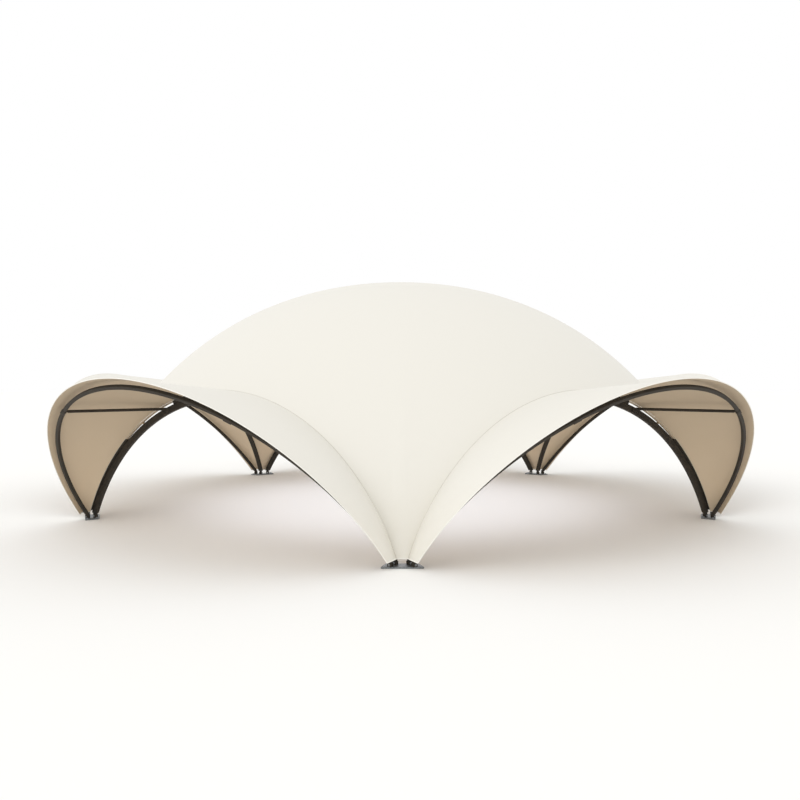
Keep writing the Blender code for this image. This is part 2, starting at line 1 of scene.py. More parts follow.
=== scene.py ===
# %% [markdown]
# # Dressing an arched canopy
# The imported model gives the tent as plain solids: faceted arches, thick membranes and bare plates.
# This notebook puts the real surfaces on them, one kind of piece at a time: smooth bent tubes, a
# stretched membrane with its hems and welts, and the bolts that hold it all. Every size comes from
# the frame or from a named dimension of the real tent, so nothing has to be fitted by eye.

# %% Load the frame
import json
from math import asin, atan2, cos, hypot, pi, radians, sin, sqrt

import bmesh
import bpy
from mathutils import Matrix, Vector

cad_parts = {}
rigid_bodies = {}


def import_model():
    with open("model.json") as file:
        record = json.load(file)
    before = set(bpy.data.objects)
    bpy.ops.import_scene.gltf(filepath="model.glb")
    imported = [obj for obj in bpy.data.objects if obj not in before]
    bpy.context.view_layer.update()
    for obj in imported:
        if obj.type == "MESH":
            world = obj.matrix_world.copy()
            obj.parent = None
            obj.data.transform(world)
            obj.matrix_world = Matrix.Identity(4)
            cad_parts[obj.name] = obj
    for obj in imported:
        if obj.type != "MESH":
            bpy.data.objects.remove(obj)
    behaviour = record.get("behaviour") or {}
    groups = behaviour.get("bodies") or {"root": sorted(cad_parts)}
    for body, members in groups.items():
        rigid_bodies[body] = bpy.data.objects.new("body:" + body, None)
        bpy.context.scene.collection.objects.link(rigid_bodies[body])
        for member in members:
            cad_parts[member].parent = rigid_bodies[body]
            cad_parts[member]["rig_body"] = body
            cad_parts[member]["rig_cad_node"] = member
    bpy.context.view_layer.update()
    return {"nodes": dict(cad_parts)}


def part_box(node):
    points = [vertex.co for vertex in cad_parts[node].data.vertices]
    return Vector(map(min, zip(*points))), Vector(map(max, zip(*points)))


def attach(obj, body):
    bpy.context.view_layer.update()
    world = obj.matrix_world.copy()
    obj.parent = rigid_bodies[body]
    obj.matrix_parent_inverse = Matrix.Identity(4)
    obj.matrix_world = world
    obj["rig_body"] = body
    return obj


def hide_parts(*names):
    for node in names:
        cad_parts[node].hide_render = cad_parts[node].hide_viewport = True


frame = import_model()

# %% [markdown]
# ## The plan
# Five feet stand on a circle, and between each pair of feet there is one bay: an upright inner
# arch, a leaning outer arch, two struts and a flared visor. The frame tells where that circle has
# its centre (the crown ring's) and how far out the inner arches stand. All five bays are the same,
# so one bay is modelled at the back, where outward is simply +Y, and then copied round.

# %% The plan's driving sizes, read from the frame
ring_low, ring_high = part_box("crown_ring")
arch_low, arch_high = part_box("inner_arch_back")
foot_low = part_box("foot_front")[0]
CIRCLE = Vector((0.0, (ring_low.y + ring_high.y) / 2, 0.0))
APOTHEM = (arch_low.y + arch_high.y) / 2 - CIRCLE.y
TUBE_WIDTH = arch_high.y - arch_low.y
HALF_TURN = radians(36)
FOOT_RADIUS = APOTHEM / cos(HALF_TURN)
SIDES = {"back": 0, "left_side": 72, "front_left": 144, "front_right": 216, "right_side": 288}
FEET = {"front": 0, "right": 72, "back_right": 144, "back_left": 216, "left": 288}
PLATE_TOP = 0.020
print("circle of feet: radius", round(FOOT_RADIUS, 3), "centre y", round(CIRCLE.y, 3))


def bay(offset, along, height):
    """A point of the back bay: offset is outward from the inner arch's plane."""
    return Vector((along, CIRCLE.y + APOTHEM + offset, height))


def turned(degrees):
    """The turn about the centre of the circle of feet."""
    turn = Matrix.Rotation(radians(degrees), 4, "Z")
    return Matrix.Translation(CIRCLE) @ turn @ Matrix.Translation(-CIRCLE)


# %% [markdown]
# ## The camera
# The picture is taken from just above standing height, some 18.5 m in front of the middle, with a
# slightly long lens. The focal length is written in image pixels, because that is how it was
# measured, and turned into millimetres on a 36 mm sensor.

# %% Camera
IMAGE_PIXELS = 800
FOCAL_PIXELS = 906.5
SENSOR = 36.0
CAMERA_PLACE = Vector((-0.0885, -18.508 + CIRCLE.y, 2.790))
CAMERA_PITCH = 2.131
CAMERA_YAW = 0.258
camera_data = bpy.data.cameras.new("camera")
camera_data.sensor_width = SENSOR
camera_data.lens = SENSOR * FOCAL_PIXELS / IMAGE_PIXELS
camera = bpy.data.objects.new("camera", camera_data)
camera.location = CAMERA_PLACE
camera.rotation_euler = (radians(90 - CAMERA_PITCH), 0.0, radians(-CAMERA_YAW))
bpy.context.scene.collection.objects.link(camera)
bpy.context.scene.camera = camera
print("lens in mm:", round(camera_data.lens, 2))

# %% [markdown]
# ## Light and floor
# A studio with white walls: the world is plain white, so light comes from everywhere, and one wide
# sun from the front left gives the dome a little shape. Cloth lets some daylight through and a pale
# floor throws it back up, so two large soft panels stand in for that: one under the dome that looks
# down, and one just above the floor that looks up. The view transform is Standard, so that a white
# wall stays white.

# %% Colours as they are seen, turned into the linear values that a shader wants
def colour(code):
    """A linear colour from an sRGB hex code."""
    channels = [int(code[i:i + 2], 16) / 255 for i in (1, 3, 5)]
    linear = [c / 12.92 if c <= 0.04045 else ((c + 0.055) / 1.055) ** 2.4 for c in channels]
    return (*linear, 1.0)


def add_node(tree, kind, inputs=None, **settings):
    """Adds a node with its settings; an input is either a value or a socket to link from."""
    node = tree.nodes.new(kind)
    for key, value in settings.items():
        setattr(node, key, value)
    for key, value in (inputs or {}).items():
        if isinstance(value, bpy.types.NodeSocket):
            tree.links.new(value, node.inputs[key])
        else:
            node.inputs[key].default_value = value
    return node


# %% World, sun and floor
WORLD_STRENGTH = 1.0
SUN_STRENGTH = 0.55
SUN_SOFTNESS = radians(40)
SUN_TILT = radians(52)
SUN_TURN = radians(-48)
FLOOR_RADIUS = 90.0
FLOOR_DROP = 0.001
scene = bpy.context.scene
scene.view_settings.view_transform = "Standard"
world = bpy.data.worlds.new("studio")
world.use_nodes = True
sky = world.node_tree.nodes["Background"]
sky.inputs["Color"].default_value = colour("#FFFFFF")
sky.inputs["Strength"].default_value = WORLD_STRENGTH
scene.world = world

sun_data = bpy.data.lights.new("soft_sun", "SUN")
sun_data.energy = SUN_STRENGTH
sun_data.angle = SUN_SOFTNESS
sun = bpy.data.objects.new("soft_sun", sun_data)
sun.rotation_euler = (SUN_TILT, 0.0, SUN_TURN)
scene.collection.objects.link(sun)


def soft_panel(name, height, diameter, watts, tint, looks_up):
    """A round panel of light, centred on the tent."""
    data = bpy.data.lights.new(name, "AREA")
    data.shape = "DISK"
    data.size = diameter
    data.energy = watts
    data.color = colour(tint)[:3]
    panel = bpy.data.objects.new(name, data)
    panel.location = (CIRCLE.x, CIRCLE.y, height)
    panel.rotation_euler = (pi if looks_up else 0.0, 0.0, 0.0)
    panel.visible_camera = False
    scene.collection.objects.link(panel)


soft_panel("light_through_the_cloth", height=1.75, diameter=8.4, watts=150.0, tint="#EEF3FF",
           looks_up=False)
soft_panel("light_off_the_floor", height=0.03, diameter=22.0, watts=110.0, tint="#FFF8EE",
           looks_up=True)

bpy.ops.object.select_all(action="DESELECT")
bpy.ops.mesh.primitive_circle_add(
    vertices=96, radius=FLOOR_RADIUS, fill_type="NGON", location=(0, 0, -FLOOR_DROP))
floor = bpy.context.object
floor.name = "studio_floor"
floor_finish = bpy.data.materials.new("matt_studio_floor")
floor_finish.use_nodes = True
floor_shader = floor_finish.node_tree.nodes["Principled BSDF"]
floor_shader.inputs["Base Color"].default_value = colour("#F7F6F3")
floor_shader.inputs["Roughness"].default_value = 0.9
floor.data.materials.append(floor_finish)
print("floor and light are set")

# %% [markdown]
# ## Finishes
# Seven finishes cover the tent. Each starts from what the real one is, and the size of every
# pattern comes from a real size in millimetres. Patterns on steel read object coordinates. Cloth
# reads a UV map in metres, which each sheet is given when it is made, so the weave follows it.

# %% A new finish, and pattern scales from millimetres
def new_finish(name, ior=1.5):
    """A material with its tree and its Principled shader."""
    finish = bpy.data.materials.new(name)
    finish.use_nodes = True
    shader = finish.node_tree.nodes["Principled BSDF"]
    shader.inputs["IOR"].default_value = ior
    return finish, finish.node_tree, shader


def noise_scale(millimetres):
    """The Noise scale that gives blotches of about this size on coordinates in metres."""
    return 1000.0 / millimetres


def wave_scale(millimetres):
    """The Wave scale that repeats a band at this spacing: the node has 20 / (2 pi) bands a unit."""
    return 2 * pi / 20 * 1000.0 / millimetres


# %% [markdown]
# ### Coated membrane
# PVC-coated polyester: a woven base cloth, flooded with white PVC and lacquered. The eye sees an
# even off-white with a low sheen, very slightly cloudy, and a little grey-beige dust where rain
# splashes the lowest metre. Yarns are about 1 mm apart, too fine to show at this distance, so the
# weave is drawn at 6 mm. The underside is the tan, more matt face of the same cloth. Its upper part
# is painted a shade darker: painted shade, where less light comes up from the floor.

# %% Membrane, top and underside
YARN_SPACING = 6.0
CLOUD_SIZE = 900.0
SPLASH_SIZE = 140.0
DUST_HEIGHT = 1.3
# Heights between which painted shade turns the cloth towards its high-up colour.
PAINTED_SHADE_FROM = 0.6
PAINTED_SHADE_TO = 2.4


def membrane_finish(name, fresh, cloudy, painted_shade_high_up, dusty, roughness, dust_share):
    """One face of the cloth: a little cloudy, darker high up with painted shade, and dusty low down.
    """
    finish, tree, shader = new_finish(name)
    place = add_node(tree, "ShaderNodeTexCoord").outputs["Object"]
    cloth = add_node(tree, "ShaderNodeUVMap", uv_map="cloth").outputs["UV"]
    clouds = add_node(tree, "ShaderNodeTexNoise", {
        "Vector": place, "Scale": noise_scale(CLOUD_SIZE), "Detail": 4.0, "Roughness": 0.55})
    base = add_node(tree, "ShaderNodeMix", {
        "Factor": clouds.outputs["Fac"], "A": colour(fresh), "B": colour(cloudy)}, data_type="RGBA")
    height = add_node(tree, "ShaderNodeSeparateXYZ", {"Vector": place}).outputs["Z"]
    # Painted shade: the colour turns towards the high-up tone between these two heights.
    painted_shade_climb = add_node(tree, "ShaderNodeMapRange", {
        "Value": height, "From Min": PAINTED_SHADE_FROM, "From Max": PAINTED_SHADE_TO})
    painted_shade_mix = add_node(tree, "ShaderNodeMix", {
        "Factor": painted_shade_climb.outputs["Result"], "A": base.outputs["Result"], "B": colour(painted_shade_high_up)},
        data_type="RGBA")
    low = add_node(tree, "ShaderNodeMapRange", {
        "Value": height, "From Max": DUST_HEIGHT, "To Min": dust_share, "To Max": 0.0})
    splash = add_node(tree, "ShaderNodeTexNoise", {
        "Vector": place, "Scale": noise_scale(SPLASH_SIZE), "Detail": 6.0, "Roughness": 0.65})
    dust = add_node(tree, "ShaderNodeMath", {0: low.outputs["Result"], 1: splash.outputs["Fac"]},
                    operation="MULTIPLY")
    mixed = add_node(tree, "ShaderNodeMix", {
        "Factor": dust.outputs["Value"], "A": painted_shade_mix.outputs["Result"], "B": colour(dusty)},
        data_type="RGBA")
    tree.links.new(mixed.outputs["Result"], shader.inputs["Base Color"])
    gloss = add_node(tree, "ShaderNodeMapRange", {
        "Value": splash.outputs["Fac"], "To Min": roughness - 0.06, "To Max": roughness + 0.08})
    tree.links.new(gloss.outputs["Result"], shader.inputs["Roughness"])
    warp = add_node(tree, "ShaderNodeTexWave", {"Vector": cloth, "Scale": wave_scale(YARN_SPACING)},
                    bands_direction="X")
    weft = add_node(tree, "ShaderNodeTexWave", {"Vector": cloth, "Scale": wave_scale(YARN_SPACING)},
                    bands_direction="Y")
    weave = add_node(tree, "ShaderNodeMath", {0: warp.outputs["Fac"], 1: weft.outputs["Fac"]},
                     operation="MULTIPLY")
    relief = add_node(tree, "ShaderNodeBump", {
        "Height": weave.outputs["Value"], "Strength": 0.12, "Distance": 0.0004})
    tree.links.new(relief.outputs["Normal"], shader.inputs["Normal"])
    return finish


membrane_top = membrane_finish(
    "pvc_membrane_top", fresh="#E7E4DC", cloudy="#E3E0D7", painted_shade_high_up="#E5E2D9", dusty="#D8D0BC",
    roughness=0.50, dust_share=0.35)
# The underside's darker high-up colour is painted shade, where less light reaches it.
membrane_under = membrane_finish(
    "pvc_membrane_underside", fresh="#E2CFB5", cloudy="#DBC8AC", painted_shade_high_up="#B9A890",
    dusty="#C9B597", roughness=0.68, dust_share=0.25)
print("membrane finishes made")

# %% [markdown]
# ### Hem webbing and seam welt
# The free edges are closed by a rope in a pocket of the same cloth, with a tight rib across it, and
# it catches the light as the brightest line on the tent. The welt over the seam is the keder bead,
# painted a little greyer as painted shade of the valley it lies in.

# %% Hem and welt
WEAR_SIZE = 220.0
HEM_RIB = 9.0
WELT_RIB = 12.0


def hem_finish(name, clean, worn, rib):
    """Rolled cloth with a tight rib, whose spacing is in millimetres."""
    finish, tree, shader = new_finish(name)
    place = add_node(tree, "ShaderNodeTexCoord").outputs["Object"]
    wear = add_node(tree, "ShaderNodeTexNoise", {
        "Vector": place, "Scale": noise_scale(WEAR_SIZE), "Detail": 5.0, "Roughness": 0.6})
    base = add_node(tree, "ShaderNodeMix", {
        "Factor": wear.outputs["Fac"], "A": colour(clean), "B": colour(worn)}, data_type="RGBA")
    tree.links.new(base.outputs["Result"], shader.inputs["Base Color"])
    shader.inputs["Roughness"].default_value = 0.55
    ribs = add_node(tree, "ShaderNodeTexWave", {
        "Vector": place, "Scale": wave_scale(rib), "Distortion": 0.6}, bands_direction="DIAGONAL")
    relief = add_node(tree, "ShaderNodeBump", {
        "Height": ribs.outputs["Fac"], "Strength": 0.25, "Distance": 0.0008})
    tree.links.new(relief.outputs["Normal"], shader.inputs["Normal"])
    return finish


hem_cloth = hem_finish("pvc_hem_pocket", "#F4F2EC", "#EBE8E0", HEM_RIB)
# The welt's greyer colours are painted shade of the seam's valley.
welt_cloth_painted_shade = hem_finish("pvc_keder_welt_painted_shade", "#CFCCC2", "#C4C0B4", WELT_RIB)
print("hem finishes made")

# %% [markdown]
# ### Painted steel
# The tubes are powder-coated: a charcoal polyester coat baked on steel. It has a fine orange-peel
# of about 2 mm, a low satin gloss, and after some seasons a thin paler bloom in patches.

# %% Charcoal powder coat
BLOOM_SIZE = 160.0
PEEL_SIZE = 2.0
powder_coat, tree, shader = new_finish("charcoal_powder_coat")
place = add_node(tree, "ShaderNodeTexCoord").outputs["Object"]
bloom = add_node(tree, "ShaderNodeTexNoise", {
    "Vector": place, "Scale": noise_scale(BLOOM_SIZE), "Detail": 7.0, "Roughness": 0.62})
coat_mix = add_node(tree, "ShaderNodeMapRange", {
    "Value": bloom.outputs["Fac"], "From Min": 0.35, "From Max": 0.75})
coat = add_node(tree, "ShaderNodeMix", {
    "Factor": coat_mix.outputs["Result"], "A": colour("#36322D"), "B": colour("#423D36")},
    data_type="RGBA")
tree.links.new(coat.outputs["Result"], shader.inputs["Base Color"])
satin = add_node(tree, "ShaderNodeMapRange", {
    "Value": bloom.outputs["Fac"], "To Min": 0.48, "To Max": 0.66})
tree.links.new(satin.outputs["Result"], shader.inputs["Roughness"])
shader.inputs["Specular IOR Level"].default_value = 0.12
peel = add_node(tree, "ShaderNodeTexNoise", {
    "Vector": place, "Scale": noise_scale(PEEL_SIZE), "Detail": 2.0})
peel_relief = add_node(tree, "ShaderNodeBump", {
    "Height": peel.outputs["Fac"], "Strength": 0.15, "Distance": 0.0003})
tree.links.new(peel_relief.outputs["Normal"], shader.inputs["Normal"])
print("powder coat made")

# %% [markdown]
# ### Galvanised steel and zinc-plated bolts
# The foot plates are hot-dip galvanised: crystals of zinc 10 to 20 mm across, dull grey, with some
# patches of dust. Bolts are electro-plated, so they are finer, brighter and more even.

# %% Galvanised plate
CRYSTAL_SIZE = 16.0
DULL_PATCH_SIZE = 90.0
galvanised, tree, shader = new_finish("hot_dip_galvanised_steel")
shader.inputs["Metallic"].default_value = 0.85
place = add_node(tree, "ShaderNodeTexCoord").outputs["Object"]
crystals = add_node(tree, "ShaderNodeTexVoronoi", {
    "Vector": place, "Scale": noise_scale(CRYSTAL_SIZE)}, feature="F1")
grain = add_node(tree, "ShaderNodeSeparateColor", {"Color": crystals.outputs["Color"]})
zinc = add_node(tree, "ShaderNodeMix", {
    "Factor": grain.outputs["Red"], "A": colour("#7A7E81"), "B": colour("#94989B")},
    data_type="RGBA")
bloom = add_node(tree, "ShaderNodeTexNoise", {
    "Vector": place, "Scale": noise_scale(DULL_PATCH_SIZE), "Detail": 6.0})
bloom_mix = add_node(tree, "ShaderNodeMapRange", {
    "Value": bloom.outputs["Fac"], "From Min": 0.5, "From Max": 0.8, "To Max": 0.6})
dulled = add_node(tree, "ShaderNodeMix", {
    "Factor": bloom_mix.outputs["Result"], "A": zinc.outputs["Result"], "B": colour("#96938C")},
    data_type="RGBA")
tree.links.new(dulled.outputs["Result"], shader.inputs["Base Color"])
zinc_gloss = add_node(tree, "ShaderNodeMapRange", {
    "Value": grain.outputs["Green"], "To Min": 0.38, "To Max": 0.58})
tree.links.new(zinc_gloss.outputs["Result"], shader.inputs["Roughness"])

# %% Zinc-plated bolt
SMEAR_SIZE = 12.0
zinc_plate, tree, shader = new_finish("zinc_plated_steel")
shader.inputs["Metallic"].default_value = 1.0
place = add_node(tree, "ShaderNodeTexCoord").outputs["Object"]
smears = add_node(tree, "ShaderNodeTexNoise", {
    "Vector": place, "Scale": noise_scale(SMEAR_SIZE), "Detail": 5.0})
plate_tone = add_node(tree, "ShaderNodeMix", {
    "Factor": smears.outputs["Fac"], "A": colour("#AEB1B3"), "B": colour("#8E9194")},
    data_type="RGBA")
tree.links.new(plate_tone.outputs["Result"], shader.inputs["Base Color"])
plate_gloss = add_node(tree, "ShaderNodeMapRange", {
    "Value": smears.outputs["Fac"], "To Min": 0.25, "To Max": 0.5})
tree.links.new(plate_gloss.outputs["Result"], shader.inputs["Roughness"])
print("metal finishes made")

# %% [markdown]
# ## Working by hand
# A new piece starts as a primitive, is shaped in edit mode and ends at the origin with its place in
# its mesh. An operator acts on all that is selected, so one helper lets go of everything and takes
# hold of one piece, and another finishes it: name, finish, smooth shading and body.

# %% Helpers for taking hold of a piece and finishing it
SHARP_ANGLE = radians(32)
MERGE_DISTANCE = 0.00002


def hold(*pieces):
    """Selects only these pieces and makes the first one active."""
    if bpy.context.object is not None and bpy.context.object.mode != "OBJECT":
        bpy.ops.object.mode_set(mode="OBJECT")
    bpy.ops.object.select_all(action="DESELECT")
    for piece in pieces:
        piece.select_set(True)
    bpy.context.view_layer.objects.active = pieces[0]
    return pieces[0]


def settle(piece):
    """Puts the piece's place into its mesh."""
    hold(piece)
    bpy.ops.object.transform_apply(location=True, rotation=True, scale=True)
    return piece


def new_box(place, size, rotation=(0.0, 0.0, 0.0)):
    """A box of this size at this place."""
    bpy.ops.object.select_all(action="DESELECT")
    bpy.ops.mesh.primitive_cube_add(size=1.0, location=place, rotation=rotation)
    box = bpy.context.object
    box.scale = size
    return settle(box)


def cut_away(piece, point, normal):
    """Cuts off what lies on the side that the normal points to, and closes the cut."""
    hold(piece)
    bpy.ops.object.mode_set(mode="EDIT")
    bpy.ops.mesh.select_all(action="SELECT")
    bpy.ops.mesh.bisect(plane_co=point, plane_no=normal, use_fill=True, clear_outer=True)
    bpy.ops.object.mode_set(mode="OBJECT")


def round_edges(piece, width, segments=2):
    """Breaks the sharp edges with a Bevel modifier, and applies it."""
    hold(piece)
    bevel = piece.modifiers.new("broken_edges", "BEVEL")
    bevel.width = width
    bevel.segments = segments
    bevel.limit_method = "ANGLE"
    bevel.angle_limit = SHARP_ANGLE
    bpy.ops.object.modifier_apply(modifier=bevel.name)


def join(pieces):
    """Makes one mesh of several."""
    hold(*pieces)
    if len(pieces) > 1:
        bpy.ops.object.join()
    return bpy.context.object


def turn_out(piece):
    """Turns the faces outward, once loose doubles are merged."""
    hold(piece)
    bpy.ops.object.mode_set(mode="EDIT")
    bpy.ops.mesh.select_all(action="SELECT")
    bpy.ops.mesh.remove_doubles(threshold=MERGE_DISTANCE)
    bpy.ops.mesh.normals_make_consistent(inside=False)
    bpy.ops.object.mode_set(mode="OBJECT")


def spun_tube(place, turn, size, corner, corner_steps, steps, angle, centre, axis):
    """A box tube: a flat section with round corners, spun about an axis. A hoop has no ends."""
    bpy.ops.object.select_all(action="DESELECT")
    bpy.ops.mesh.primitive_plane_add(size=1.0, location=place, rotation=turn)
    tube = bpy.context.object
    tube.scale = (*size, 1.0)
    settle(tube)
    bpy.ops.object.mode_set(mode="EDIT")
    bpy.ops.mesh.select_all(action="SELECT")
    bpy.ops.mesh.bevel(affect="VERTICES", offset=corner, segments=corner_steps)
    bpy.ops.mesh.select_all(action="SELECT")
    if angle == 2 * pi:
        bpy.ops.mesh.delete(type="ONLY_FACE")
        bpy.ops.mesh.select_all(action="SELECT")
    bpy.ops.mesh.spin(steps=steps, angle=angle, center=centre, axis=axis)
    bpy.ops.object.mode_set(mode="OBJECT")
    turn_out(tube)
    return tube


def finish_piece(piece, name, finish):
    """Names a piece, gives it its finish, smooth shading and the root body."""
    piece.name = name
    piece.data.name = name
    if finish is not None:
        piece.data.materials.clear()
        piece.data.materials.append(finish)
    hold(piece)
    bpy.ops.object.shade_smooth_by_angle(angle=SHARP_ANGLE)
    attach(piece, "root")
    return piece


def copy_round(piece, name, places, replaced=None, tail=""):
    """Copies a piece to every place round the circle, and hides the CAD node that each replaces."""
    copies = {}
    for label, degrees in places.items():
        twin = piece.copy()
        twin.data = piece.data.copy()
        twin.parent = None
        scene.collection.objects.link(twin)
        twin.data.transform(turned(degrees))
        finish_piece(twin, name + "_" + label + tail, None)
        if replaced:
            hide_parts(replaced + "_" + label + tail)
        copies[label] = twin
    bpy.data.objects.remove(piece)
    return copies


# %% [markdown]
# ## The inner arch
# On the real tent this is a box tube rolled to a circle. By hand that is a spin: draw the tube's
# section as a small plane, round its corners, and spin it about the circle's centre, a little past
# both ends. They are then cut level, and each stands on a narrow stub that drops into its bracket.

# %% Inner arch sizes
ARC_CENTRE_Z = -1.453
TUBE_TOP = arch_high.z
TUBE_OUTER_RADIUS = TUBE_TOP - ARC_CENTRE_Z
TUBE_DEPTH = 0.109
TUBE_INNER_RADIUS = TUBE_OUTER_RADIUS - TUBE_DEPTH
TUBE_MIDDLE_RADIUS = TUBE_OUTER_RADIUS - TUBE_DEPTH / 2
TUBE_END_Z = 0.105
TUBE_CORNER = 0.009
TUBE_SPARE = 0.06
STUB_LENGTH = 0.050
STUB_WIDTH = 0.046
STUB_EDGE = 0.003
SEAT_GAP = 0.0003
SPIN_STEPS = 110


def arc_point(offset, distance, angle):
    """A point of the back bay at this distance from the inner arch's centre."""
    return bay(offset, distance * cos(angle), ARC_CENTRE_Z + distance * sin(angle))


def stub_end(along, offset):
    """The narrow end piece of a tube, standing on the plate."""
    foot = PLATE_TOP + SEAT_GAP
    height = TUBE_END_Z - foot
    stub = new_box(bay(offset, along, foot + height / 2), (STUB_LENGTH, STUB_WIDTH, height))
    round_edges(stub, STUB_EDGE)
    return stub


# %% Spin the inner arch
reach = asin((TUBE_END_Z - TUBE_SPARE - ARC_CENTRE_Z) / TUBE_OUTER_RADIUS)
inner_arch = spun_tube(
    arc_point(0.0, TUBE_MIDDLE_RADIUS, reach), (0.0, -reach, 0.0), (TUBE_DEPTH, TUBE_WIDTH),
    TUBE_CORNER, corner_steps=4, steps=SPIN_STEPS, angle=pi - 2 * reach,
    centre=bay(0.0, 0.0, ARC_CENTRE_Z), axis=(0.0, 1.0, 0.0))
cut_away(inner_arch, (0.0, 0.0, TUBE_END_Z), (0.0, 0.0, -1.0))
end_height = TUBE_END_Z - ARC_CENTRE_Z
inner_end = (sqrt(TUBE_INNER_RADIUS ** 2 - end_height ** 2)
             + sqrt(TUBE_OUTER_RADIUS ** 2 - end_height ** 2)) / 2
stubs = [stub_end(sign * inner_end, 0.0) for sign in (-1, 1)]
inner_arch = join([inner_arch] + stubs)
finish_piece(inner_arch, "inner_arch_tube", powder_coat)
arch_top = max(v.co.z for v in inner_arch.data.vertices)
print("inner arch:", len(inner_arch.data.polygons), "faces, top", round(arch_top, 3))
copy_round(inner_arch, "inner_arch_tube", SIDES, "inner_arch")

# %% [markdown]
# ## The line of the seam
# Roof and visor meet over the inner arch, on a circle a little smaller than the arch's, with its
# centre higher up. Several pieces follow that line (the rail under it, both sheets and the welt on
# top), so it gets one function. It is measured by the same angle about the arch's centre that the
# arch was spun with.

# %% Seam
SEAM_RADIUS = 3.775
SEAM_CENTRE_Z = -1.365
SEAM_END_Z = 0.120
SEAM_OFFSET_FOOT = 0.065
SEAM_OFFSET_CROWN = 0.045
SEAM_SPLIT = 0.0004
SEAM_END_ALONG = sqrt(SEAM_RADIUS ** 2 - (SEAM_END_Z - SEAM_CENTRE_Z) ** 2)
SEAM_START = atan2(SEAM_END_Z - ARC_CENTRE_Z, SEAM_END_ALONG)
STATIONS = 120


def seam_angles():
    """Even angles from one foot to the other."""
    return [SEAM_START + (pi - 2 * SEAM_START) * i / STATIONS for i in range(STATIONS + 1)]


def rise_share(angle):
    """How far up the seam this angle is: 0 at its ends, 1 at its crown."""
    low = sin(SEAM_START)
    return (sin(angle) - low) / (1.0 - low)


def seam_distance(angle):
    """From the inner arch's centre to the seam."""
    drop = ARC_CENTRE_Z - SEAM_CENTRE_Z
    return -drop * sin(angle) + sqrt(SEAM_RADIUS ** 2 - (drop * cos(angle)) ** 2)


def seam_offset(angle):
    """How far the seam lies outward of the arch's plane."""
    return SEAM_OFFSET_FOOT + (SEAM_OFFSET_CROWN - SEAM_OFFSET_FOOT) * rise_share(angle)


def seam_point(angle, shift=0.0):
    """A point of the seam, moved outward by a shift."""
    return arc_point(seam_offset(angle) + shift, seam_distance(angle), angle)


print("seam crown at", round(seam_point(pi / 2).z, 3))

# %% [markdown]
# ## The keder rail
# An extrusion that stands on the tube and holds the beaded edge of the cloth. Over a stretch near
# each haunch the cloth leaves the tube, so daylight shows between them. There the bead runs in a
# pocket of the cloth itself, and one small tab of cloth ties it down. The rail's underside follows
# the tube and its top follows the seam, which are different circles, so it is not a spin:
# cross-sections are placed in code, a degree or so apart, and joined into a skin. Places along the
# rail count the flats that the solid has.

# %% Keder rail
RAIL_INNER_EDGE = -0.010
RAIL_TOP_GAP = 0.0063
POCKET_DEPTH = 0.014
RAIL_EDGE = 0.0015
POCKET_EDGE = 0.005
CAD_FLATS = 20
FLAT_ANGLE = (pi - 2 * SEAM_START) / CAD_FLATS
RAIL_START = SEAM_START + 0.1 * FLAT_ANGLE
OPEN_FROM = SEAM_START + 4 * FLAT_ANGLE
OPEN_TO = SEAM_START + 7.25 * FLAT_ANGLE
TAB_AT = SEAM_START + 5.22 * FLAT_ANGLE
TAB_HALF = 0.010 / TUBE_OUTER_RADIUS
STATION_STEP = 0.022


def sweep(name, sections):
    """A closed skin through cross-sections that follow one another."""
    data = bmesh.new()
    loops = [[data.verts.new(corner) for corner in section] for section in sections]
    for first, second in zip(loops, loops[1:]):
        count = len(first)
        for i in range(count):
            data.faces.new((first[i], first[(i + 1) % count], second[(i + 1) % count], second[i]))
    data.faces.new(loops[0][::-1])
    data.faces.new(loops[-1])
    mesh = bpy.data.meshes.new(name)
    data.to_mesh(mesh)
    data.free()
    piece = bpy.data.objects.new(name, mesh)
    scene.collection.objects.link(piece)
    turn_out(piece)
    return piece


def rail_section(angle, on_tube):
    """The four corners of the rail, or of the pocket where it is off the tube."""
    top = seam_distance(angle) - RAIL_TOP_GAP
    bottom = TUBE_OUTER_RADIUS + SEAT_GAP if on_tube else top - POCKET_DEPTH
    outer = seam_offset(angle)
    corners = ((RAIL_INNER_EDGE, bottom), (outer, bottom), (outer, top), (RAIL_INNER_EDGE, top))
    return [arc_point(offset, distance, angle) for offset, distance in corners]


def rail_stretch(low, high, on_tube):
    """One stretch of rail or pocket between two angles."""
    count = max(2, int((high - low) / STATION_STEP))
    angles = [low + (high - low) * i / count for i in range(count + 1)]
    return sweep("stretch", [rail_section(angle, on_tube) for angle in angles])


rails = [
    rail_stretch(OPEN_TO, pi - OPEN_TO, True),
    rail_stretch(RAIL_START, OPEN_FROM, True),
    rail_stretch(pi - OPEN_FROM, pi - RAIL_START, True),
]
pockets = []
cuts = (
    (OPEN_FROM, TAB_AT - TAB_HALF, False),
    (TAB_AT - TAB_HALF, TAB_AT + TAB_HALF, True),
    (TAB_AT + TAB_HALF, OPEN_TO, False),
)
for low, high, tied in cuts:
    pockets.append(rail_stretch(low + SEAT_GAP, high - SEAT_GAP, tied))
    pockets.append(rail_stretch(pi - high + SEAT_GAP, pi - low - SEAT_GAP, tied))
rail = join(rails)
round_edges(rail, RAIL_EDGE)
finish_piece(rail, "keder_strip", powder_coat)
pocket = join(pockets)
round_edges(pocket, POCKET_EDGE, segments=3)
finish_piece(pocket, "bead_pocket", membrane_under)
print("keder rail:", len(rail.data.polygons), "faces, pocket:", len(pocket.data.polygons))
copy_round(rail, "keder_strip", SIDES, "keder_rail")
copy_round(pocket, "bead_pocket", SIDES)

# %% [markdown]
# ## The outer arch
# A square tube bent to half an ellipse, in a plane that leans out by 37 degrees. A curve does this
# well: draw the ellipse flat, give it a rounded square as its bevel, lean the whole curve over, and
# turn it into a mesh. Where the struts land the tube wears a short sleeve.

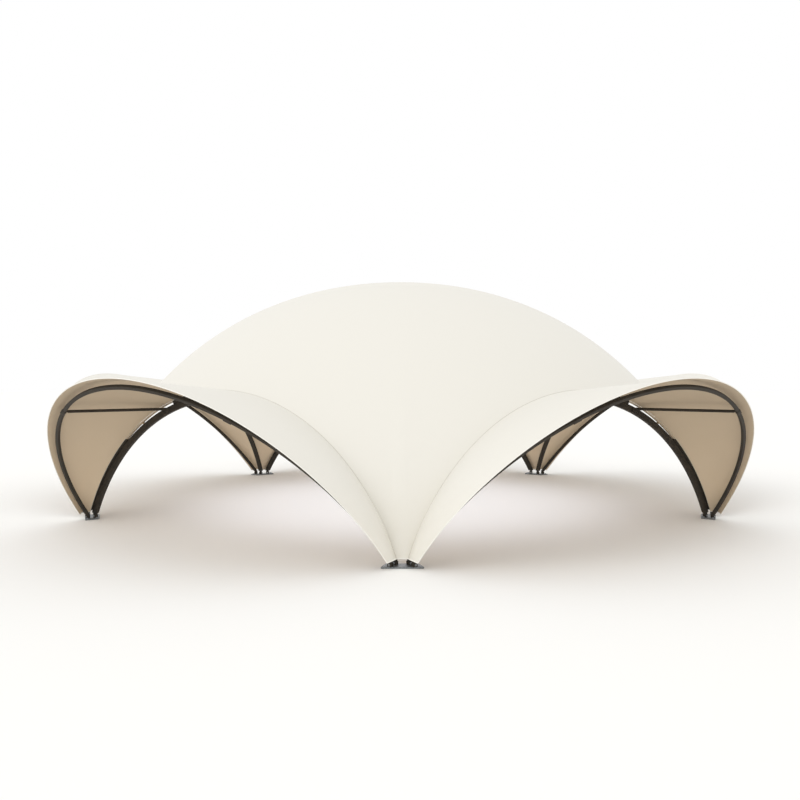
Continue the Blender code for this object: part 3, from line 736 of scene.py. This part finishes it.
# %% Outer arch sizes
OUTER_LEAN = radians(37.33)
OUTER_OFFSET = 0.0847
OUTER_HALF_WIDTH = 3.447
OUTER_RISE = 3.359
OUTER_CENTRE = -0.225
OUTER_TUBE = 0.060
OUTER_END_Z = 0.085
OUTER_CORNER = 0.008
OUTER_SPARE_ANGLE = 0.02
SLEEVE_PROUD = 0.006
SLEEVE_LENGTH = 0.130
SLEEVE_EDGE = 0.004
OUTER_TILT = Matrix.Rotation(pi / 2 - OUTER_LEAN, 4, "X")
OUTER_PLANE = Matrix.Translation(bay(OUTER_OFFSET, 0.0, 0.0)) @ OUTER_TILT
OUTER_NORMAL = OUTER_TILT.to_3x3() @ Vector((0.0, 0.0, 1.0))


def flat_outer_point(angle):
    """A point of the ellipse, in the arch's own plane."""
    return Vector((OUTER_HALF_WIDTH * cos(angle), OUTER_CENTRE + OUTER_RISE * sin(angle), 0.0))


def outer_point(angle):
    """A point of the leaning tube's centre line."""
    return OUTER_PLANE @ flat_outer_point(angle)


def outer_angle(height):
    """The angle at which the tube's centre line reaches this height."""
    return asin((height / cos(OUTER_LEAN) - OUTER_CENTRE) / OUTER_RISE)


# %% Bend the outer arch
def path_curve(name, points, closed=False):
    """A curve object through points, with straight lines between them."""
    data = bpy.data.curves.new(name, "CURVE")
    data.dimensions = "3D"
    spline = data.splines.new("POLY")
    spline.points.add(len(points) - 1)
    for knot, point in zip(spline.points, points):
        knot.co = (*point, 1.0)
    spline.use_cyclic_u = closed
    curve = bpy.data.objects.new(name, data)
    scene.collection.objects.link(curve)
    return curve


def mesh_of(curve):
    """Turns a curve with a bevel into a mesh with closed ends."""
    curve.data.use_fill_caps = True
    hold(curve)
    bpy.ops.object.convert(target="MESH")
    return bpy.context.object


def rounded_square(side, corner, steps=4):
    """Points of a square with round corners, centred on the origin."""
    reach = side / 2 - corner
    points = []
    for quarter in range(4):
        middle = Vector((reach, reach, 0.0))
        middle.rotate(Matrix.Rotation(quarter * pi / 2, 3, "Z"))
        for i in range(steps + 1):
            turn = quarter * pi / 2 + pi / 2 * i / steps
            points.append(middle + Vector((corner * cos(turn), corner * sin(turn), 0.0)))
    return points


tube_section = path_curve("tube_section", rounded_square(OUTER_TUBE, OUTER_CORNER), closed=True)
first = outer_angle(OUTER_END_Z) - OUTER_SPARE_ANGLE
angles = [first + (pi - 2 * first) * i / SPIN_STEPS for i in range(SPIN_STEPS + 1)]
outer_arch = path_curve("outer_arch_tube", [flat_outer_point(angle) for angle in angles])
outer_arch.data.twist_mode = "Z_UP"
outer_arch.data.bevel_mode = "OBJECT"
outer_arch.data.bevel_object = tube_section
outer_arch = mesh_of(outer_arch)
outer_arch.data.transform(OUTER_PLANE)
bpy.data.objects.remove(tube_section)
turn_out(outer_arch)
cut_away(outer_arch, (0.0, 0.0, OUTER_END_Z), (0.0, 0.0, -1.0))
print("outer arch:", len(outer_arch.data.polygons), "faces")

# %% Sleeves and stubs of the outer arch
STRUT_OUTER_Z = 2.075
STRUT_ANGLE = outer_angle(STRUT_OUTER_Z)
SLEEVE_SIDE = OUTER_TUBE + 2 * SLEEVE_PROUD
SMALL_ANGLE = 0.001
parts = [outer_arch]
for angle in (STRUT_ANGLE, pi - STRUT_ANGLE):
    travel = outer_point(angle + SMALL_ANGLE) - outer_point(angle - SMALL_ANGLE)
    travel.normalize()
    sleeve = new_box((0.0, 0.0, 0.0), (SLEEVE_SIDE, SLEEVE_SIDE, SLEEVE_LENGTH))
    round_edges(sleeve, SLEEVE_EDGE)
    turn = Matrix((OUTER_NORMAL.cross(travel), OUTER_NORMAL, travel)).transposed().to_4x4()
    sleeve.data.transform(Matrix.Translation(outer_point(angle)) @ turn)
    turn_out(sleeve)
    parts.append(sleeve)
outer_end = outer_point(outer_angle(OUTER_END_Z))
outer_end_offset = outer_end.y - CIRCLE.y - APOTHEM
for sign in (-1, 1):
    parts.append(stub_end(sign * abs(outer_end.x), outer_end_offset))
outer_arch = join(parts)
finish_piece(outer_arch, "outer_arch_tube", powder_coat)
copy_round(outer_arch, "outer_arch_tube", SIDES, "outer_arch")
print("outer arches placed, strut joint at", [round(c, 3) for c in outer_point(STRUT_ANGLE)])

# %% [markdown]
# ## Bolts
# One hexagon bolt is modelled with care and used everywhere: a six-sided head with a chamfer, and a
# round washer under it. It points along +Z with the washer's underside at the origin, so placing it
# is one turn and one move.

# %% A hexagon bolt
HEAD_HEIGHT = 0.55
HEAD_CHAMFER = 0.07
WASHER_HEIGHT = 0.11
WASHER_RADIUS = 0.92
UPWARD = 0.9


def hex_bolt(across_flats, place, axis):
    """A hexagon head on its washer at a place; the sizes are shares of the width across flats."""
    bpy.ops.object.select_all(action="DESELECT")
    head_height = across_flats * HEAD_HEIGHT
    washer = across_flats * WASHER_HEIGHT
    bpy.ops.mesh.primitive_cylinder_add(
        vertices=6, radius=across_flats / sqrt(3), depth=head_height,
        location=(0, 0, washer + head_height / 2))
    head = bpy.context.object
    settle(head)
    bpy.ops.object.mode_set(mode="EDIT")
    bpy.ops.mesh.select_all(action="DESELECT")
    cage = bmesh.from_edit_mesh(head.data)
    for face in cage.faces:
        face.select_set(face.normal.z > UPWARD)
    bmesh.update_edit_mesh(head.data)
    bpy.ops.mesh.bevel(offset=across_flats * HEAD_CHAMFER, segments=2, affect="EDGES")
    bpy.ops.object.mode_set(mode="OBJECT")
    bpy.ops.object.select_all(action="DESELECT")
    bpy.ops.mesh.primitive_cylinder_add(
        vertices=20, radius=across_flats * WASHER_RADIUS, depth=washer,
        location=(0, 0, washer / 2))
    ring = bpy.context.object
    settle(ring)
    bolt = join([head, ring])
    turn = Vector((0, 0, 1)).rotation_difference(Vector(axis)).to_matrix().to_4x4()
    bolt.data.transform(Matrix.Translation(place) @ turn)
    return bolt


print("bolt ready")

# %% [markdown]
# ## Struts
# Two round bars in each opening keep the leaning arch at its distance. The inboard end is welded to
# a small plate that is bolted to the inner arch, and the outboard end butts against the sleeve.

# %% Struts
STRUT_RADIUS = 0.024
STRUT_INNER_ALONG = 1.36
STRUT_INNER_Z = 2.067
SADDLE_THICKNESS = 0.010
SADDLE_LENGTH = 0.150
SADDLE_MARGIN = 0.008
SADDLE_EDGE = 0.002
STRUT_SPARE = 0.1
STRUT_BOLT = 0.018
STRUT_BOLT_ALONG = 0.056
STRUT_BOLT_UP = 0.026


def saddle_angle(sign):
    """Where the saddle lies on the inner arch."""
    return atan2(STRUT_INNER_Z - ARC_CENTRE_Z, sign * STRUT_INNER_ALONG)


def on_saddle(sign, offset, along, up):
    """A point on the saddle: along the tube and across it, from the saddle's middle."""
    turn = saddle_angle(sign) + along / TUBE_MIDDLE_RADIUS
    return arc_point(TUBE_WIDTH / 2 + SEAT_GAP + offset, TUBE_MIDDLE_RADIUS + up, turn)


def make_strut(sign):
    """One strut of the back bay with its saddle, on the side that the sign gives."""
    begin = bay(TUBE_WIDTH / 2 + SEAT_GAP, sign * STRUT_INNER_ALONG, STRUT_INNER_Z)
    end = outer_point(STRUT_ANGLE if sign > 0 else pi - STRUT_ANGLE)
    direction = (end - begin).normalized()
    length = (end - begin).length
    bpy.ops.object.select_all(action="DESELECT")
    bpy.ops.mesh.primitive_cylinder_add(
        vertices=40, radius=STRUT_RADIUS, depth=length + STRUT_SPARE)
    bar = bpy.context.object
    turn = Vector((0, 0, 1)).rotation_difference(direction).to_matrix().to_4x4()
    bar.data.transform(Matrix.Translation((begin + end) / 2) @ turn)
    cross = OUTER_NORMAL if OUTER_NORMAL.dot(direction) > 0 else -OUTER_NORMAL
    cut_away(bar, end - cross * (SLEEVE_SIDE / 2 + SEAT_GAP), cross)
    saddle_middle = on_saddle(sign, SADDLE_THICKNESS / 2, 0.0, 0.0)
    cut_away(bar, saddle_middle, (0, -1, 0))
    saddle_size = (TUBE_DEPTH - 2 * SADDLE_MARGIN, SADDLE_THICKNESS, SADDLE_LENGTH)
    saddle = new_box(saddle_middle, saddle_size, (0.0, -saddle_angle(sign), 0.0))
    round_edges(saddle, SADDLE_EDGE)
    return join([bar, saddle])


for sign, label in ((-1, "a"), (1, "b")):
    strut = make_strut(sign)
    finish_piece(strut, "strut_bar", powder_coat)
    copy_round(strut, "strut_bar", SIDES, "strut", "_" + label)
print("struts placed")

# %% Bolts of the strut saddles, painted over with the frame
bolts = []
for sign in (-1, 1):
    for along in (-STRUT_BOLT_ALONG, STRUT_BOLT_ALONG):
        for up in (-STRUT_BOLT_UP, STRUT_BOLT_UP):
            spot = on_saddle(sign, SADDLE_THICKNESS, along, up)
            bolts.append(hex_bolt(STRUT_BOLT, spot, (0, 1, 0)))
strut_bolts = join(bolts)
finish_piece(strut_bolts, "strut_bolts", powder_coat)
copy_round(strut_bolts, "strut_bolts", SIDES)
print("strut bolts placed")

# %% [markdown]
# ## The roof sheet
# One continuous cloth over the whole dome. Its form is a dome of revolution, slightly flattened at
# the top and steeper at the rim, that lifts to meet the seams. Cloth like this has no cut pattern
# worth tracing with a primitive, so the surface is a grid computed from that rule, row by row from
# the crown to the rim. Solidify then gives it its thickness and its second face.

# %% Dome rule
SHEET = 0.004
DOME_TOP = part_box("roof_membrane")[1].z
DOME_BASE = -1.536
DOME_RADIUS = 6.142
DOME_PLAN_POWER = 2.069
DOME_RISE_POWER = 2.143
LIFT_POWER = 10
ROOF_ROWS = 46
ROW_CROWDING = 1.7


def dome_height(radius):
    """Height of the dome of revolution at this distance from its axis."""
    share = max(0.0, 1.0 - (radius / DOME_RADIUS) ** DOME_PLAN_POWER)
    return DOME_BASE + (DOME_TOP - DOME_BASE) * share ** (1.0 / DOME_RISE_POWER)


def roof_point(rim, share):
    """Top of the roof on the line from its crown to a rim point."""
    out = rim - CIRCLE
    reach = hypot(out.x, out.y)
    lift = rim.z - dome_height(reach)
    height = dome_height(reach * share) + lift * share ** LIFT_POWER
    return Vector((CIRCLE.x + out.x * share, CIRCLE.y + out.y * share, height))


def roof_shares():
    """Rows from the crown to the rim, closer together near the rim."""
    return [1.0 - (1.0 - i / ROOF_ROWS) ** ROW_CROWDING for i in range(1, ROOF_ROWS + 1)]


def grid_sheet(name, rows, flats, closed, crown=None):
    """A sheet from rows of points. Its UV map holds each point's place on the flat cloth."""
    data = bmesh.new()
    uv = data.loops.layers.uv.new("cloth")
    place = {}
    lines = []
    for row, flat_row in zip(rows, flats):
        line = []
        for point, flat in zip(row, flat_row):
            vert = data.verts.new(point)
            place[vert] = flat
            line.append(vert)
        lines.append(line)
    faces = []
    count = len(rows[0]) if closed else len(rows[0]) - 1
    for near, far in zip(lines, lines[1:]):
        for i in range(count):
            j = (i + 1) % len(near)
            faces.append(data.faces.new((near[i], far[i], far[j], near[j])))
    if crown is not None:
        top = data.verts.new(crown)
        place[top] = (0.0, 0.0)
        for i in range(count):
            j = (i + 1) % len(lines[0])
            faces.append(data.faces.new((top, lines[0][i], lines[0][j])))
    for face in faces:
        for loop in face.loops:
            loop[uv].uv = place[loop.vert]
    mesh = bpy.data.meshes.new(name)
    data.to_mesh(mesh)
    data.free()
    sheet = bpy.data.objects.new(name, mesh)
    scene.collection.objects.link(sheet)
    return sheet


def thicken(sheet):
    """Gives a sheet its thickness on the underside, which takes the second finish."""
    sheet.data.materials.clear()
    sheet.data.materials.append(membrane_top)
    sheet.data.materials.append(membrane_under)
    hold(sheet)
    shell = sheet.modifiers.new("cloth_thickness", "SOLIDIFY")
    shell.thickness = SHEET
    shell.offset = -1.0
    shell.material_offset = 1
    bpy.ops.object.modifier_apply(modifier=shell.name)


# %% The roof sheet
BAYS_IN_TURN = ("front_right", "right_side", "back", "left_side", "front_left")
rim = []
for side in BAYS_IN_TURN:
    for angle in reversed(seam_angles()):
        rim.append(turned(SIDES[side]) @ seam_point(pi - angle, shift=-SEAM_SPLIT))
rows = [[roof_point(point, share) for point in rim] for share in roof_shares()]
crown = Vector((CIRCLE.x, CIRCLE.y, DOME_TOP))
flats = []
lengths = [0.0] * len(rim)
before = [crown] * len(rim)
for row in rows:
    flat_row = []
    for i, point in enumerate(row):
        lengths[i] += (point - before[i]).length
        out = Vector((point.x - CIRCLE.x, point.y - CIRCLE.y)).normalized()
        flat_row.append((out.x * lengths[i], out.y * lengths[i]))
    before = row
    flats.append(flat_row)
roof = grid_sheet("roof_sheet", rows, flats, closed=True, crown=crown)
if roof.data.polygons[0].normal.z < 0:
    roof.data.flip_normals()
thicken(roof)
finish_piece(roof, "roof_sheet", None)
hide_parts("roof_membrane")
print("roof:", len(roof.data.polygons), "faces")

# %% [markdown]
# ## The visors
# Each visor hangs between two curves: the seam over the inner arch and its own free edge, a circle
# in a plane that leans out like the outer arch. Between them the cloth bellies out towards the
# feet, and is straight at the crown. It is the same kind of grid as the roof.

# %% Visor rule
EDGE_LEAN = radians(36.83)
EDGE_BASE_Z = -0.281
EDGE_RADIUS = 3.488
EDGE_CENTRE = 0.138
EDGE_END_Z = 0.099
BULGE_FOOT = 0.211
VISOR_ROWS = 24
EDGE_START = asin(((EDGE_END_Z - EDGE_BASE_Z) / cos(EDGE_LEAN) - EDGE_CENTRE) / EDGE_RADIUS)


def edge_point(share):
    """A point of the free edge, from one foot to the other."""
    angle = EDGE_START + (pi - 2 * EDGE_START) * share
    slope = EDGE_CENTRE + EDGE_RADIUS * sin(angle)
    height = EDGE_BASE_Z + slope * cos(EDGE_LEAN)
    return bay(slope * sin(EDGE_LEAN), EDGE_RADIUS * cos(angle), height)


def visor_point(share_along, share_out):
    """A point of the visor: along the seam, and out from the seam to the free edge."""
    angle = SEAM_START + (pi - 2 * SEAM_START) * share_along
    seam = seam_point(angle, shift=SEAM_SPLIT)
    chord = edge_point(share_along) - seam
    away = Vector((cos(angle), 0.0, sin(angle)))
    square = (away - chord * (away.dot(chord) / chord.length_squared)).normalized()
    depth = BULGE_FOOT * (1.0 - rise_share(angle)) * chord.length
    return seam + chord * share_out + square * (4.0 * share_out * (1.0 - share_out) * depth)


# %% Visor sheet
rows = []
flats = []
for i in range(STATIONS + 1):
    row = [visor_point(i / STATIONS, j / VISOR_ROWS) for j in range(VISOR_ROWS + 1)]
    along = SEAM_RADIUS * (pi - 2 * SEAM_START) * i / STATIONS
    run = 0.0
    flat_row = []
    for j, point in enumerate(row):
        run += (point - row[max(j - 1, 0)]).length
        flat_row.append((along, run))
    rows.append(row)
    flats.append(flat_row)
visor = grid_sheet("visor_sheet", rows, flats, closed=False)
middle_face = visor.data.polygons[len(visor.data.polygons) // 2]
if middle_face.normal.z < 0:
    visor.data.flip_normals()
thicken(visor)
finish_piece(visor, "visor_sheet", None)
visors = copy_round(visor, "visor_sheet", SIDES, "visor")

# %% [markdown]
# ## Hems and welts
# The visor's free edge is a rope in a pocket, the seam carries a bead, and a short hem closes the
# cloth round each foot. All three are round lines along a known path: a curve with a round bevel.

# %% A round line along a path
def round_line(name, points, radius, finish):
    """A round bar or cord along points."""
    line = path_curve(name, points)
    line.data.bevel_depth = radius
    line.data.bevel_resolution = 3
    line = mesh_of(line)
    turn_out(line)
    return finish_piece(line, name, finish)


# %% Free-edge hem and seam welt
HEM_RADIUS = 0.007
WELT_RADIUS = 0.0055
hem_path = [edge_point(i / STATIONS) for i in range(STATIONS + 1)]
hem = round_line("edge_hem", hem_path, HEM_RADIUS, hem_cloth)
hems = copy_round(hem, "edge_hem", SIDES)
welt_path = [seam_point(angle) for angle in seam_angles()]
welt = round_line("seam_welt", welt_path, WELT_RADIUS, welt_cloth_painted_shade)
welts = copy_round(welt, "seam_welt", SIDES)
print("hems and welts placed")

# %% Foot hem: down one visor's end, across the roof's short edge, up the next visor's end
FOOT_HEM_RADIUS = 0.008
left_bay = turned(SIDES["front_left"])
right_bay = turned(SIDES["front_right"])
shares = [j / VISOR_ROWS for j in range(VISOR_ROWS, -1, -1)]
trial = [left_bay @ visor_point(end, 0.0) for end in (0.0, 1.0)]
left_end = 0.0 if abs(trial[0].x) < abs(trial[1].x) else 1.0
path = [left_bay @ visor_point(left_end, share) for share in shares]
path += [right_bay @ visor_point(1.0 - left_end, share) for share in reversed(shares)]
foot_hem = round_line("foot_hem", path, FOOT_HEM_RADIUS, hem_cloth)
foot_hems = copy_round(foot_hem, "foot_hem", FEET)
print("foot hem spans x", round(min(p.x for p in path), 3), "to", round(max(p.x for p in path), 3))

# %% [markdown]
# ## The frame under the crown
# A ring hangs just under the top of the dome, and five rafters run in to it from the crowns of the
# inner arches. Each follows the underside of the cloth, so its line comes from the dome rule.

# %% Crown ring
RING_RADIUS = 0.460
RING_WIDTH = 0.050
RING_HEIGHT = ring_high.z - ring_low.z
RING_CORNER = 0.006
RING_STEPS = 96
section_place = (CIRCLE.x + RING_RADIUS - RING_WIDTH / 2, CIRCLE.y, ring_high.z - RING_HEIGHT / 2)
ring = spun_tube(
    section_place, (pi / 2, 0.0, 0.0), (RING_WIDTH, RING_HEIGHT), RING_CORNER, corner_steps=3,
    steps=RING_STEPS, angle=2 * pi, centre=(CIRCLE.x, CIRCLE.y, 0.0), axis=(0.0, 0.0, 1.0))
finish_piece(ring, "crown_hoop", powder_coat)
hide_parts("crown_ring")
print("crown ring:", len(ring.data.polygons), "faces")

# %% Rafters
RAFTER_RADIUS = 0.030
RAFTER_STEPS = 60
RAFTER_FROM = 0.04
SMALL_SHARE = 0.002
RAFTER_PLATE_WIDTH = 0.110
RAFTER_PLATE_THICKNESS = 0.010
RAFTER_PLATE_LOW = 0.100
RAFTER_PLATE_EDGE = 0.002
PLATE_BELOW_BAR = 0.004
NEAR_THE_PLATE = 0.06
CAD_SHEET = 0.006
rim_middle = seam_point(pi / 2)
line = []
for i in range(RAFTER_STEPS + 1):
    share = RAFTER_FROM + (1.0 - RAFTER_FROM) * i / RAFTER_STEPS
    here = roof_point(rim_middle, share)
    ahead = roof_point(rim_middle, share + SMALL_SHARE)
    slope = (ahead - here).normalized()
    normal = Vector((1.0, 0.0, 0.0)).cross(slope)
    line.append(here - normal * (CAD_SHEET + RAFTER_RADIUS + 2 * SEAT_GAP))
rafter = round_line("rafter_bar", line, RAFTER_RADIUS, powder_coat)
cut_away(rafter, (0.0, CIRCLE.y + RING_RADIUS + SEAT_GAP, 0.0), (0, -1, 0))
plate_face = -TUBE_WIDTH / 2 - SEAT_GAP
plate_middle = plate_face - RAFTER_PLATE_THICKNESS / 2
cut_away(rafter, bay(plate_middle, 0, 0), (0, 1, 0))
near_from = CIRCLE.y + APOTHEM - NEAR_THE_PLATE
rafter_end = max(v.co.z for v in rafter.data.vertices if v.co.y > near_from)
plate_low = TUBE_TOP - RAFTER_PLATE_LOW
plate_high = rafter_end - PLATE_BELOW_BAR
plate = new_box(
    bay(plate_middle, 0.0, (plate_low + plate_high) / 2),
    (RAFTER_PLATE_WIDTH, RAFTER_PLATE_THICKNESS, plate_high - plate_low))
round_edges(plate, RAFTER_PLATE_EDGE)
rafter = join([rafter, plate])
finish_piece(rafter, "rafter_bar", powder_coat)
copy_round(rafter, "rafter_bar", SIDES, "rafter")
print("rafters placed, plate from", round(plate_low, 3), "to", round(plate_high, 3))

# %% Bolts of the rafter plates
RAFTER_BOLT_ACROSS = 0.038
RAFTER_BOLT_MARGIN = 0.022
bolts = []
for across in (-RAFTER_BOLT_ACROSS, RAFTER_BOLT_ACROSS):
    for height in (plate_low + RAFTER_BOLT_MARGIN, TUBE_TOP - RAFTER_BOLT_MARGIN):
        spot = bay(plate_face - RAFTER_PLATE_THICKNESS, across, height)
        bolts.append(hex_bolt(STRUT_BOLT, spot, (0, -1, 0)))
rafter_bolts = join(bolts)
finish_piece(rafter_bolts, "rafter_bolts", zinc_plate)
copy_round(rafter_bolts, "rafter_bolts", SIDES)
print("rafter bolts placed")

# %% [markdown]
# ## The feet
# The CAD foot has the right shape: a plate with eight upright lugs. Only its edges are too sharp,
# so a copy of its mesh is merged, cleaned of loose triangles and given broken edges. The plate is
# bare zinc, and the lugs are painted like the tubes. Bolts clamp each pair of lugs, and four more
# hold the plate down.

# %% Foot plates
LUG_WELD = 0.002
PLATE_EDGE = 0.0016
PLATE_MERGE = 0.00005
FLAT_ENOUGH = radians(1)
for foot in FEET:
    node = frame["nodes"]["foot_" + foot]
    plate = node.copy()
    plate.data = node.data.copy()
    plate.parent = None
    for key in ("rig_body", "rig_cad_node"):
        if key in plate:
            del plate[key]
    scene.collection.objects.link(plate)
    hold(plate)
    bpy.ops.object.mode_set(mode="EDIT")
    bpy.ops.mesh.select_all(action="SELECT")
    bpy.ops.mesh.remove_doubles(threshold=PLATE_MERGE)
    bpy.ops.mesh.dissolve_limited(angle_limit=FLAT_ENOUGH)
    bpy.ops.object.mode_set(mode="OBJECT")
    round_edges(plate, PLATE_EDGE)
    finish_piece(plate, "base_plate_" + foot, galvanised)
    plate.data.materials.append(powder_coat)
    for face in plate.data.polygons:
        if face.center.z > PLATE_TOP + LUG_WELD:
            face.material_index = 1
    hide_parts("foot_" + foot)
print("foot plates made")

# %% Bolts through the lugs, and anchor bolts
LUG_THICKNESS = 0.008
LUG_FACE = STUB_WIDTH / 2 + 2 * SEAT_GAP + LUG_THICKNESS
LUG_BOLT = 0.019
PIN_Z = 0.046
bolts = []
for sign in (-1, 1):
    for along, offset in ((inner_end, 0.0), (abs(outer_end.x), outer_end_offset)):
        for way in (-1, 1):
            spot = bay(offset + way * LUG_FACE, sign * along, PIN_Z)
            bolts.append(hex_bolt(LUG_BOLT, spot, (0, way, 0)))
lug_bolts = join(bolts)
finish_piece(lug_bolts, "lug_bolts", zinc_plate)
copy_round(lug_bolts, "lug_bolts", SIDES)

ANCHOR_SPOTS = ((0.245, 0.045), (0.175, 0.205))
ANCHOR_BOLT = 0.024
bolts = []
for across, back in ANCHOR_SPOTS:
    for sign in (-1, 1):
        spot = (sign * across, foot_low.y + back, PLATE_TOP)
        bolts.append(hex_bolt(ANCHOR_BOLT, spot, (0, 0, 1)))
anchors = join(bolts)
finish_piece(anchors, "anchor_bolts", zinc_plate)
copy_round(anchors, "anchor_bolts", FEET)
print("foot bolts placed")
